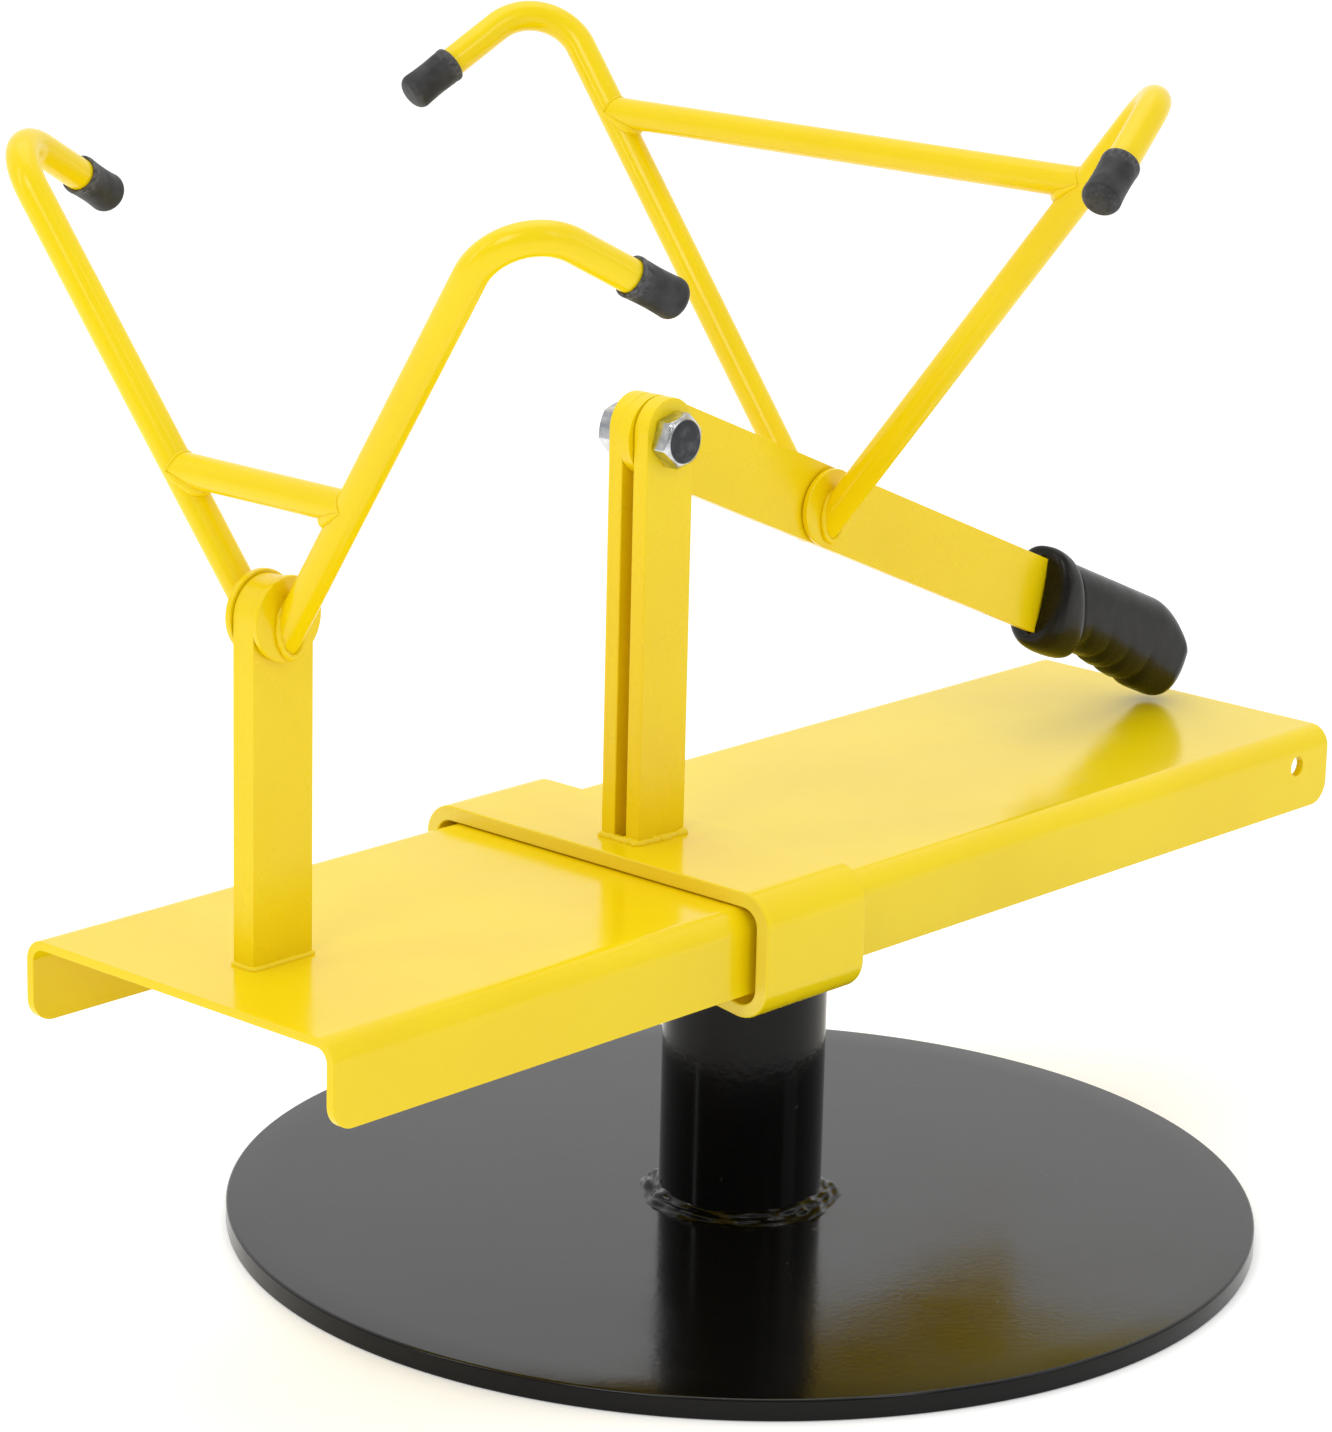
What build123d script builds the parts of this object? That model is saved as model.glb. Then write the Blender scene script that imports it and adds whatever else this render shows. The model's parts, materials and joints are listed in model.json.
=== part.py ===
"""Bench tyre spreader that turns on its post: a round base, a channel beam with one fixed upright,
a sliding sleeve with an over-centre lever, and two hinged frames with capped hooks."""

import os
from math import cos, radians, sin, tan

from build123d import *

os.makedirs("parts", exist_ok=True)

# All sizes are in mm. X runs along the beam, Z is up, the post's axis is X = Y = 0.

# ---- base and post ----
base_diameter = 480
base_thickness = 10
base_edge_break = 1.2
post_diameter = 76
post_wall = 4
post_length = 168
post_weld_leg = 8

# ---- turntable inside the post ----
spindle_diameter = 45
spindle_length = 116
spindle_clearance = 0.08
bush_flange_thickness = 3
bush_length = 28
lower_bush_depth = 84
thrust_gap = 0.2
stop_screw_diameter = 10
stop_screw_tip_diameter = 7
stop_screw_depth = 56
stop_screw_socket = 5
stop_screw_socket_depth = 4
groove_width = 10
groove_depth = 5
groove_tip_gap = 1.5
pivot_plate_size = 110
pivot_plate_thickness = 8

# ---- beam ----
beam_length = 680
beam_left_overhang = 352
beam_width = 186
beam_depth = 38
beam_sheet = 4
beam_bend_inside = 6
beam_corner_radius = 11
stop_hole_diameter = 10
stop_hole_from_end = 25.5
stop_hole_below_top = 15.5

# ---- fixed upright ----
upright_x = -298
upright_width = 33
upright_thickness = 12
upright_pivot_height = 147
upright_weld_leg = 4

# ---- sliding sleeve ----
slider_x = -73
sleeve_length = 65
sleeve_plate = 7
sleeve_inside_radius = 8
sleeve_top_gap = 0.5
sleeve_side_gap = 4
sleeve_bottom_gap = 6.5
sleeve_lip_length = 34
sleeve_lip_rise = 8

# ---- clevis, bolt and nut ----
clevis_width = 30
clevis_thickness = 8
clevis_pivot_height = 182.3
clevis_crown_rise = 3
clevis_weld_leg = 4
lever_side_gap = 0.4
bolt_diameter = 14
bolt_clearance = 0.06
bolt_head_flats = 22
bolt_head_height = 8.8
bolt_face_diameter = 19.6
bolt_head_turn = 14
bolt_end_chamfer = 1
nut_height = 10.5
bolt_end_length = 2

# ---- lever and grip ----
lever_width = 36
lever_thickness = 6
lever_droop = 23.06
lever_frame_pivot = 127
lever_tang_width = 25
lever_tang_start = 310
lever_tang_end = 402
grip_start = 303
grip_end = 428
grip_height = 43
grip_width = 30
grip_collar_height = 50
grip_collar_width = 37
grip_collar_length = 15
grip_collar_edge = 6
grip_side_flat = 8
grip_crown_radius = 34
grip_heel_radius = 12
grip_heel_drop = 6
finger_groove_count = 4
finger_groove_pitch = 20
finger_groove_first = 333
finger_groove_radius = 6
finger_groove_depth = 2.4

# ---- hooked frames ----
rod_diameter = 14
rod_bend_radius = 25
hook_reach = 73
hook_drop = 50
hook_flare = 18
disc_diameter = 36
disc_thickness = 3
disc_side_gap = 0.5
pin_diameter = 12
pin_clearance = 0.06
rod_foot_drop = 4
rod_weld_leg = 2.5
rod_weld_height = 5
bar_weld_leg = 3
cap_wall = 1.6
cap_end_thickness = 3
cap_length = 26
cap_end_radius = 3.5
left_bend_height = 188
left_bend_spread = 147
left_lean = 6
left_crossbar_height = 54
right_bend_height = 220
right_bend_spread = 183
right_lean = 1.5
right_crossbar_height = 165

# ---- levels and places worked out from the sizes above ----
post_top = base_thickness + post_length
plate_bottom = post_top + bush_flange_thickness + thrust_gap
web_underside = plate_bottom + pivot_plate_thickness
beam_top = web_underside + beam_sheet
beam_bottom = beam_top - beam_depth
beam_left = -beam_left_overhang
beam_right = beam_left + beam_length
beam_half = beam_width / 2
upright_pivot_z = beam_top + upright_pivot_height
sleeve_top = beam_top + sleeve_top_gap + sleeve_plate
sleeve_bottom = beam_bottom - sleeve_bottom_gap - sleeve_plate
sleeve_half = beam_half + sleeve_side_gap + sleeve_plate
lever_gap = lever_thickness + 2 * lever_side_gap
clevis_half = lever_gap / 2 + clevis_thickness
lever_pivot_z = sleeve_top + clevis_pivot_height
frame_pivot_x = slider_x + lever_frame_pivot * cos(radians(lever_droop))
frame_pivot_z = lever_pivot_z - lever_frame_pivot * sin(radians(lever_droop))
post_bore = post_diameter - 2 * post_wall
bush_bore = spindle_diameter + 2 * spindle_clearance


def save(name, shape):
    export_step(shape, f"parts/{name}.step")


def disc_y(radius, thickness, x, y_middle, z):
    """A short cylinder along Y with its middle at y_middle."""
    return Pos(x, y_middle, z) * Rot(90, 0, 0) * Cylinder(radius, thickness)


def box(x_low, x_high, y_low, y_high, z_low, z_high):
    middle = Pos((x_low + x_high) / 2, (y_low + y_high) / 2, (z_low + z_high) / 2)
    return middle * Box(x_high - x_low, y_high - y_low, z_high - z_low)


def mirrored(shape):
    """The same piece on the other side of the beam."""
    return mirror(shape, about=Plane.XZ)


def rod(start, end, radius):
    """A straight round bar between two points."""
    direction = end - start
    base = Plane(origin=start, z_dir=direction)
    return extrude(base * Circle(radius), amount=direction.length)


def foot_bead(x, width, thickness, leg, z):
    """A weld bead round the foot of an upright bar, with a 45 degree face."""
    outline = Rectangle(width + 2 * leg, thickness + 2 * leg)
    bead = extrude(Pos(x, 0, z) * outline, amount=leg, taper=45)
    return bead


def eye_bar(x, width, thickness, y_middle, z_foot, z_pivot, crown_rise):
    """An upright flat bar whose rounded top sits around its pivot."""
    crown = z_pivot + crown_rise
    shank = box(
        x - width / 2,
        x + width / 2,
        y_middle - thickness / 2,
        y_middle + thickness / 2,
        z_foot,
        crown,
    )
    return shank + disc_y(width / 2, thickness, x, y_middle, crown)


# ---- base and post ----
base_plate = Pos(0, 0, base_thickness / 2) * Cylinder(base_diameter / 2, base_thickness)
base_plate = chamfer(base_plate.edges(), base_edge_break)
save("base_plate", base_plate)

post_middle = base_thickness + post_length / 2
post_tube = Cylinder(post_diameter / 2, post_length) - Cylinder(post_bore / 2, post_length)
post_tube = Pos(0, 0, post_middle) * post_tube
stop_screw_z = post_top - stop_screw_depth
stop_screw_hole = disc_y(stop_screw_diameter / 2, post_wall + 10, 0, post_diameter / 2, stop_screw_z)
save("post_tube", post_tube - stop_screw_hole)

weld_section = Plane.XZ * Polyline(
    (post_diameter / 2, base_thickness),
    (post_diameter / 2 + post_weld_leg, base_thickness),
    (post_diameter / 2, base_thickness + post_weld_leg),
    close=True,
)
save("post_weld", revolve(make_face(weld_section), Axis.Z))

# ---- turntable ----
upper_bush = Pos(0, 0, post_top - bush_length / 2) * Cylinder(post_bore / 2, bush_length)
upper_bush += Pos(0, 0, post_top + bush_flange_thickness / 2) * Cylinder(
    post_diameter / 2, bush_flange_thickness
)
bore_cut = Cylinder(bush_bore / 2, 4 * post_length)
save("upper_bush", upper_bush - bore_cut)

lower_bush_middle = post_top - lower_bush_depth - bush_length / 2
lower_bush = Pos(0, 0, lower_bush_middle) * Cylinder(post_bore / 2, bush_length)
save("lower_bush", lower_bush - bore_cut)

groove_floor = spindle_diameter / 2 - groove_depth
tip_start = groove_floor + groove_tip_gap
thread_start = spindle_diameter / 2 + 4
thread_end = post_diameter / 2
stop_screw = disc_y(
    stop_screw_tip_diameter / 2,
    thread_start - tip_start,
    0,
    (thread_start + tip_start) / 2,
    stop_screw_z,
)
stop_screw += disc_y(
    stop_screw_diameter / 2,
    thread_end - thread_start,
    0,
    (thread_end + thread_start) / 2,
    stop_screw_z,
)
stop_screw -= disc_y(
    stop_screw_socket / 2, 2 * stop_screw_socket_depth, 0, thread_end, stop_screw_z
)
save("stop_screw", stop_screw)

spindle = Pos(0, 0, plate_bottom - spindle_length / 2) * Cylinder(
    spindle_diameter / 2, spindle_length
)
groove = Cylinder(spindle_diameter, groove_width) - Cylinder(groove_floor, groove_width)
save("spindle", spindle - Pos(0, 0, stop_screw_z) * groove)

pivot_plate_half = pivot_plate_size / 2
pivot_plate = box(
    -pivot_plate_half,
    pivot_plate_half,
    -pivot_plate_half,
    pivot_plate_half,
    plate_bottom,
    web_underside,
)
save("pivot_plate", pivot_plate)

# ---- beam ----
beam_middle_z = beam_top - beam_depth / 2
beam_outer = Pos(0, beam_middle_z) * Rectangle(beam_width, beam_depth)
upper_corners = beam_outer.vertices().group_by(Axis.Y)[-1]
beam_outer = fillet(upper_corners, beam_bend_inside + beam_sheet)
beam_inner = Pos(0, beam_middle_z - beam_sheet) * Rectangle(
    beam_width - 2 * beam_sheet, beam_depth
)
inner_corners = beam_inner.vertices().group_by(Axis.Y)[-1]
beam_inner = fillet(inner_corners, beam_bend_inside)
beam = extrude(Plane.YZ.offset(beam_left) * (beam_outer - beam_inner), amount=beam_length)
flange_ends = beam.edges().filter_by(Axis.Y).group_by(Axis.Z)[0]
beam = fillet(flange_ends, beam_corner_radius)
stop_hole_x = beam_right - stop_hole_from_end
stop_hole_z = beam_top - stop_hole_below_top
beam -= disc_y(stop_hole_diameter / 2, 2 * beam_width, stop_hole_x, 0, stop_hole_z)
save("beam_channel", beam)

# ---- fixed upright ----
upright_bar = eye_bar(
    upright_x, upright_width, upright_thickness, 0, beam_top, upright_pivot_z, 0
)
pin_bore = pin_diameter / 2 + pin_clearance
upright_bore = disc_y(pin_bore, 2 * upright_thickness, upright_x, 0, upright_pivot_z)
save("upright_bar", upright_bar - upright_bore)
upright_weld = foot_bead(
    upright_x, upright_width, upright_thickness, upright_weld_leg, beam_top
)
save("upright_weld", upright_weld - upright_bar)

# ---- sliding sleeve, bent round the beam with its lips turned in under the flanges ----
lip_lift = sleeve_lip_length * tan(radians(sleeve_lip_rise))
sleeve_outer = make_face(
    Polyline(
        (-sleeve_half, sleeve_top),
        (sleeve_half, sleeve_top),
        (sleeve_half, sleeve_bottom),
        (sleeve_half - sleeve_lip_length, sleeve_bottom + lip_lift),
        (sleeve_lip_length - sleeve_half, sleeve_bottom + lip_lift),
        (-sleeve_half, sleeve_bottom),
        close=True,
    )
)
outer_corners = sleeve_outer.vertices().sort_by(Axis.X)
sleeve_outer = fillet(
    outer_corners[:2] + outer_corners[-2:], sleeve_inside_radius + sleeve_plate
)
room_half = sleeve_half - sleeve_plate
room_floor = sleeve_bottom + sleeve_plate
room_lift = lip_lift * room_half / sleeve_half
sleeve_room = make_face(
    Polyline(
        (-room_half, sleeve_top - sleeve_plate),
        (room_half, sleeve_top - sleeve_plate),
        (room_half, room_floor),
        (sleeve_half - sleeve_lip_length, room_floor + room_lift),
        (sleeve_half - sleeve_lip_length, sleeve_bottom),
        (sleeve_lip_length - sleeve_half, sleeve_bottom),
        (sleeve_lip_length - sleeve_half, room_floor + room_lift),
        (-room_half, room_floor),
        close=True,
    )
)
room_corners = sleeve_room.vertices().sort_by(Axis.X)
sleeve_room = fillet(room_corners[:2] + room_corners[-2:], sleeve_inside_radius)
sleeve_left = slider_x - sleeve_length / 2
sleeve = extrude(Plane.YZ.offset(sleeve_left) * (sleeve_outer - sleeve_room), amount=sleeve_length)
save("sleeve", sleeve)

# ---- clevis ----
clevis_y = lever_gap / 2 + clevis_thickness / 2
clevis_blank = eye_bar(
    slider_x,
    clevis_width,
    clevis_thickness,
    -clevis_y,
    sleeve_top,
    lever_pivot_z,
    clevis_crown_rise,
)
bolt_radius = bolt_diameter / 2
clevis_bore = disc_y(bolt_radius, 4 * clevis_half, slider_x, 0, lever_pivot_z)
clevis_near = clevis_blank - clevis_bore
save("clevis_near", clevis_near)
save("clevis_far", mirrored(clevis_near))
clevis_weld = foot_bead(slider_x, clevis_width, 2 * clevis_half, clevis_weld_leg, sleeve_top)
save("clevis_weld", clevis_weld - clevis_blank - mirrored(clevis_blank))


def hexagon(flats, height, face_diameter, y_seat, outward):
    """A hexagon along Y from its seat, with the 30 degree chamfer round its free face."""
    seat = Plane(origin=(slider_x, y_seat, lever_pivot_z), x_dir=(1, 0, 0), z_dir=(0, outward, 0))
    prism = extrude(
        seat * Rot(0, 0, bolt_head_turn) * RegularPolygon(flats / 2, 6, major_radius=False), amount=height
    )
    slope = height / tan(radians(30))
    cone = Cone(
        face_diameter / 2 + slope,
        face_diameter / 2,
        height,
        align=(Align.CENTER, Align.CENTER, Align.MIN),
    )
    return prism & (seat * cone)


# ---- lever bolt and nut ----
bolt_tip = clevis_half + nut_height + bolt_end_length
lever_bolt = hexagon(bolt_head_flats, bolt_head_height, bolt_face_diameter, -clevis_half, -1)
bolt_shank = disc_y(
    bolt_radius,
    bolt_tip + clevis_half,
    slider_x,
    (bolt_tip - clevis_half) / 2,
    lever_pivot_z,
)
bolt_shank = chamfer(bolt_shank.edges().sort_by(Axis.Y)[-1], bolt_end_chamfer)
save("lever_bolt", lever_bolt + bolt_shank)
lever_nut = hexagon(bolt_head_flats, nut_height, bolt_face_diameter, clevis_half, 1)
nut_bore = disc_y(bolt_radius, 4 * nut_height, slider_x, clevis_half, lever_pivot_z)
save("lever_nut", lever_nut - nut_bore)

# ---- lever: drawn level with its pivot at X = 0, then swung down to where it rests ----
lever_place = Pos(slider_x, 0, lever_pivot_z) * Rot(0, lever_droop, 0)
lever_half = lever_thickness / 2
lever_bar = box(
    0, lever_tang_start, -lever_half, lever_half, -lever_width / 2, lever_width / 2
)
lever_bar += disc_y(lever_width / 2, lever_thickness, 0, 0, 0)
lever_tang = box(
    lever_tang_start,
    lever_tang_end,
    -lever_half,
    lever_half,
    -lever_tang_width / 2,
    lever_tang_width / 2,
)
lever_body = lever_bar + lever_tang
lever_bar = lever_body - disc_y(bolt_radius + bolt_clearance, 4 * lever_thickness, 0, 0, 0)
lever_bar -= disc_y(pin_bore, 4 * lever_thickness, lever_frame_pivot, 0, 0)
save("lever_bar", lever_place * lever_bar)

# ---- grip ----
grip_half_height = grip_height / 2
grip_heel = -grip_half_height - grip_heel_drop
grip_side = make_face(
    Polyline(
        (grip_start, grip_half_height),
        (grip_end, grip_half_height),
        (grip_end, grip_heel),
        (grip_end - 2 * grip_heel_radius, grip_heel),
        (grip_end - 4 * grip_heel_radius, -grip_half_height),
        (grip_start, -grip_half_height),
        close=True,
    )
)
end_corners = grip_side.vertices().group_by(Axis.X)[-1].sort_by(Axis.Y)
grip_side = fillet(end_corners[1], grip_crown_radius)
end_corners = grip_side.vertices().filter_by_position(Axis.Y, grip_heel - 1, grip_heel + 1)
grip_side = fillet(end_corners.sort_by(Axis.X)[-1], grip_heel_radius)
grip_plane = Plane.XZ.offset(-grip_width / 2)
grip = extrude(grip_plane * grip_side, amount=grip_width)
long_edges = grip.edges().filter_by(lambda e: abs(abs(e.center().Y) - grip_width / 2) < 0.01)
long_edges = long_edges.filter_by(lambda e: e.center().X > grip_start + 1)
grip = fillet(long_edges, (grip_width - grip_side_flat) / 2)
collar_plane = Plane.YZ.offset(grip_start)
collar = extrude(
    collar_plane * Ellipse(grip_collar_width / 2, grip_collar_height / 2),
    amount=grip_collar_length,
)
collar = fillet(collar.edges(), grip_collar_edge)
grip += collar
for number in range(finger_groove_count):
    groove_x = finger_groove_first + number * finger_groove_pitch
    groove_z = -grip_half_height + finger_groove_depth - finger_groove_radius
    grip -= disc_y(finger_groove_radius, 2 * grip_width, groove_x, 0, groove_z)
grip -= lever_body
save("grip", lever_place * grip)


def hooked_frame(name, pivot_x, pivot_z, bar_thickness, height, spread, lean, facing, bar_height):
    """A V of two bent rods on discs either side of a bar, hooked towards facing (+1 or -1) along X.
    Heights are along the frame from its pivot; lean tips it back from upright."""
    up = Vector(-facing * sin(radians(lean)), 0, cos(radians(lean)))
    forward = Vector(facing * cos(radians(lean)), 0, sin(radians(lean)))
    out = Vector(0, -1, 0)
    pivot = Vector(pivot_x, 0, pivot_z)
    disc_in = bar_thickness / 2 + disc_side_gap
    disc_out = disc_in + disc_thickness
    rod_radius = rod_diameter / 2
    foot = pivot + out * disc_out - up * rod_foot_drop
    bend = pivot + out * spread + up * height
    hook = forward * hook_reach - up * hook_drop + out * hook_flare
    tip = bend + hook - hook.normalized() * cap_end_thickness
    slope = (bend - foot).normalized()

    # near arm, cut flush against its disc
    start = foot - slope * 3 * rod_radius
    spine = FilletPolyline(start, bend, tip, radius=rod_bend_radius)
    arm = sweep(Plane(origin=start, z_dir=slope) * Circle(rod_radius), path=spine)
    reach = 4 * spread
    inner_space = box(-reach, reach, -disc_out, reach, -reach, 2 * reach)
    arm_near = arm - inner_space
    save(name + "_arm_near", arm_near)
    save(name + "_arm_far", mirrored(arm_near))

    # crossbar, coped against both arms
    share = (bar_height + rod_foot_drop) / (height + rod_foot_drop)
    joint = foot + (bend - foot) * share
    joint_far = Vector(joint.X, -joint.Y, joint.Z)
    crossbar = rod(joint, joint_far, rod_radius)
    arm_core = rod(start, bend, rod_radius)
    save(name + "_crossbar", crossbar - arm_core - mirrored(arm_core))
    bead = rod(joint, joint + out * -2.4 * rod_diameter, rod_radius + bar_weld_leg)
    bead_room = rod(foot, bend, rod_radius + 2 * bar_weld_leg)
    bead = (bead & bead_room) - arm_near - crossbar
    bead = bead.solids().sort_by(SortBy.VOLUME)[-1]
    save(name + "_bar_weld_near", bead)
    save(name + "_bar_weld_far", mirrored(bead))

    # discs, pin and the beads at the rods' feet
    disc_middle = (disc_in + disc_out) / 2
    disc = disc_y(disc_diameter / 2, disc_thickness, pivot_x, -disc_middle, pivot_z)
    pin = disc_y(pin_diameter / 2, 2 * disc_out, pivot_x, 0, pivot_z)
    disc_near = disc - pin
    save(name + "_disc_near", disc_near)
    save(name + "_disc_far", mirrored(disc_near))
    save(name + "_pin", pin)
    collar_room = box(-reach, reach, -disc_out - rod_weld_height, -disc_out, -reach, 2 * reach)
    foot_weld = rod(start, foot + slope * 6 * rod_radius, rod_radius + rod_weld_leg)
    foot_weld = (foot_weld & collar_room) - arm
    save(name + "_foot_weld_near", foot_weld)
    save(name + "_foot_weld_far", mirrored(foot_weld))

    # push-on cap
    cap_top = tip + hook.normalized() * cap_end_thickness
    cap_mouth = cap_top - hook.normalized() * cap_length
    cap = rod(cap_mouth, cap_top, rod_radius + cap_wall)
    cap_rim = cap.edges().sort_by(Axis(origin=cap_mouth, direction=hook.normalized()))[-1]
    cap = fillet(cap_rim, cap_end_radius) - rod(cap_mouth, tip, rod_radius)
    save(name + "_cap_near", cap)
    save(name + "_cap_far", mirrored(cap))


hooked_frame(
    "left",
    upright_x,
    upright_pivot_z,
    upright_thickness,
    left_bend_height,
    left_bend_spread,
    left_lean,
    1,
    left_crossbar_height,
)
hooked_frame(
    "right",
    frame_pivot_x,
    frame_pivot_z,
    lever_thickness,
    right_bend_height,
    right_bend_spread,
    right_lean,
    -1,
    right_crossbar_height,
)
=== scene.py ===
"""Bench tyre spreader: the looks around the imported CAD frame. Metres, in the CAD's own frame."""

import json
import math

import bmesh
import bpy
from mathutils import Matrix, Vector, noise


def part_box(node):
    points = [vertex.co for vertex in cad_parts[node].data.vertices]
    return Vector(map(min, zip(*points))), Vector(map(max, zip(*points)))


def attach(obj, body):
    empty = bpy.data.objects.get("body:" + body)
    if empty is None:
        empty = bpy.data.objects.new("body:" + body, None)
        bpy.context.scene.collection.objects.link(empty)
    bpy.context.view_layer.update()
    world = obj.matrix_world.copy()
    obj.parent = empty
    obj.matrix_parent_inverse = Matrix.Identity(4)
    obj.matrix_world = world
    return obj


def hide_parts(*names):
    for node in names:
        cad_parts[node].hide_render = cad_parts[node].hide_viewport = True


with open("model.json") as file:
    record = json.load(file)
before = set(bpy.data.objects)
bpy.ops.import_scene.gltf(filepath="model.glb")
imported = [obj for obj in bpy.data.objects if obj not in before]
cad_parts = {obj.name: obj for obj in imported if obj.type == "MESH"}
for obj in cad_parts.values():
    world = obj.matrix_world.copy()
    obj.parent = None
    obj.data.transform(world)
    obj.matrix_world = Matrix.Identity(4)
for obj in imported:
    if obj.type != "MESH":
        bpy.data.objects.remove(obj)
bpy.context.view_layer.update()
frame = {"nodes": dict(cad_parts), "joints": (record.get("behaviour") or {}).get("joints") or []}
joints = {j["name"]: j for j in frame["joints"]}

# ---- sizes and counts that the pieces share: lengths in metres, angles in degrees ----
ROD_RADIUS = 0.007
ROD_SIDES = 44
ROD_BEND_RADIUS = 0.025
ROD_FOOT_DROP = 0.004
DISC_THICKNESS = 0.003
CAP_WALL = 0.0016
CAP_LENGTH = 0.026
CAP_END = 0.003
HOOK_REACH, HOOK_DROP, HOOK_FLARE = 0.073, 0.050, 0.018
GUARD_FRONT, GUARD_BACK = 0.3045, 0.3245
GRIP_BODY_START, GRIP_END = 0.325, 0.428
GRIP_DROOP = 23.06
HEX_FLATS = 0.022
HEX_FACE_RADIUS = 0.0098
# radius of the painted dark reflection on the bolt's and nut's flat end faces
HEX_DARK_REFLECTION_RADIUS = 0.00955
HEX_TURN = 14
# height and spread place each arm's bend from the pivot, bar is the crossbar's height above it,
# and side is how far each disc's inner face stands from the middle
FRAMES = {
    "left": {"joint": "left_frame_pivot", "facing": 1, "height": 0.188, "spread": 0.147,
             "lean": 6.0, "bar": 0.054, "side": 0.0065},
    "right": {"joint": "right_frame_pivot", "facing": -1, "height": 0.220, "spread": 0.183,
              "lean": 1.5, "bar": 0.165, "side": 0.0035},
}


# ---------------------------------------------------------------- materials
def linear(red, green, blue):
    """A screen colour of 0 to 255 as Blender's linear colour."""

    def one(c):
        c = c / 255
        return c / 12.92 if c <= 0.04045 else ((c + 0.055) / 1.055) ** 2.4

    return (one(red), one(green), one(blue), 1.0)


class Shader:
    """A principled material and short ways to wire procedural nodes into it."""

    def __init__(self, name, color, roughness, metallic=0.0, ior=1.4):
        self.material = bpy.data.materials.new(name)
        self.material.use_nodes = True
        self.tree = self.material.node_tree
        self.bsdf = self.tree.nodes["Principled BSDF"]
        self.bsdf.inputs["Base Color"].default_value = color
        self.bsdf.inputs["Roughness"].default_value = roughness
        self.bsdf.inputs["Metallic"].default_value = metallic
        self.bsdf.inputs["IOR"].default_value = ior
        self.where = self.tree.nodes.new("ShaderNodeTexCoord")
        self.height = None

    def link(self, a, b):
        self.tree.links.new(a, b)

    def place(self, stretch=(1, 1, 1)):
        mapping = self.tree.nodes.new("ShaderNodeMapping")
        mapping.inputs["Scale"].default_value = stretch
        self.link(self.where.outputs["Object"], mapping.inputs["Vector"])
        return mapping.outputs["Vector"]

    def noise(self, scale, detail=4.0, rough=0.5, stretch=(1, 1, 1), distortion=0.0):
        node = self.tree.nodes.new("ShaderNodeTexNoise")
        node.inputs["Scale"].default_value = scale
        node.inputs["Detail"].default_value = detail
        node.inputs["Roughness"].default_value = rough
        node.inputs["Distortion"].default_value = distortion
        self.link(self.place(stretch), node.inputs["Vector"])
        return node.outputs["Fac"]

    def ramp(self, source, low, high, out_low=0.0, out_high=1.0):
        node = self.tree.nodes.new("ShaderNodeMapRange")
        node.inputs["From Min"].default_value = low
        node.inputs["From Max"].default_value = high
        node.inputs["To Min"].default_value = out_low
        node.inputs["To Max"].default_value = out_high
        node.clamp = True
        self.link(source, node.inputs["Value"])
        return node.outputs["Result"]

    def math(self, kind, a, b):
        node = self.tree.nodes.new("ShaderNodeMath")
        node.operation = kind
        for socket, value in zip(node.inputs, (a, b)):
            if isinstance(value, (int, float)):
                socket.default_value = value
            else:
                self.link(value, socket)
        return node.outputs[0]

    def color_mix(self, factor, a, b):
        node = self.tree.nodes.new("ShaderNodeMix")
        node.data_type = "RGBA"
        factor_in, color_a, color_b, color_out = 0, 6, 7, 2
        for index, value in ((color_a, a), (color_b, b)):
            if isinstance(value, tuple):
                node.inputs[index].default_value = value
            else:
                self.link(value, node.inputs[index])
        self.link(factor, node.inputs[factor_in])
        return node.outputs[color_out]

    def attribute(self, name):
        node = self.tree.nodes.new("ShaderNodeAttribute")
        node.attribute_name = name
        return node.outputs["Fac"]

    def color(self, socket):
        self.link(socket, self.bsdf.inputs["Base Color"])

    def roughness(self, socket):
        self.link(socket, self.bsdf.inputs["Roughness"])

    def bump(self, socket, distance, strength=1.0):
        node = self.tree.nodes.new("ShaderNodeBump")
        node.inputs["Distance"].default_value = distance
        node.inputs["Strength"].default_value = strength
        self.link(socket, node.inputs["Height"])
        if self.height is not None:
            self.link(self.height, node.inputs["Normal"])
        self.height = node.outputs["Normal"]
        self.link(self.height, self.bsdf.inputs["Normal"])


YELLOW = linear(243, 214, 6)
YELLOW_DEEP = linear(238, 205, 4)
PRIMER = linear(70, 58, 30)


def enamel(name, rough=0.2, peel=0.00004, streaks=None, chips=0.74, pale=YELLOW):
    """Gloss yellow enamel with orange peel, faint tone changes and a few small chips."""
    s = Shader(name, pale, rough, ior=1.38)
    tone = s.ramp(s.noise(7, 3), 0.35, 0.7)
    base = s.color_mix(tone, pale, YELLOW_DEEP)
    chip = s.ramp(s.noise(55, 6, 0.62), chips, chips + 0.012)
    s.color(s.color_mix(chip, base, PRIMER))
    s.roughness(s.ramp(s.noise(24, 5, 0.6), 0.3, 0.75, rough * 0.8, rough * 1.5))
    s.bump(s.noise(420, 3), peel)
    s.bump(s.noise(60, 2), peel * 3)
    if streaks is not None:
        s.bump(s.noise(90, 5, 0.65, streaks), 0.00035)
    s.bump(chip, 0.0001, -0.6)
    return s.material


yellow_sheet = enamel("yellow_enamel_sheet", 0.17)
yellow_bar = enamel("yellow_enamel_sheared_bar", 0.24, 0.00005, (0.25, 3.0, 0.12))
yellow_rod = enamel("yellow_enamel_rod", 0.2, 0.00005)
# the sleeve's end faces: a paler yellow that is a painted highlight, with a few more chips as real wear
yellow_painted_highlight_ends = enamel("yellow_enamel_painted_highlight_ends", 0.3, 0.00008, None, 0.72, linear(246, 222, 84))
yellow_weld = enamel("yellow_enamel_weld", 0.26, 0.00009)


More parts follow.
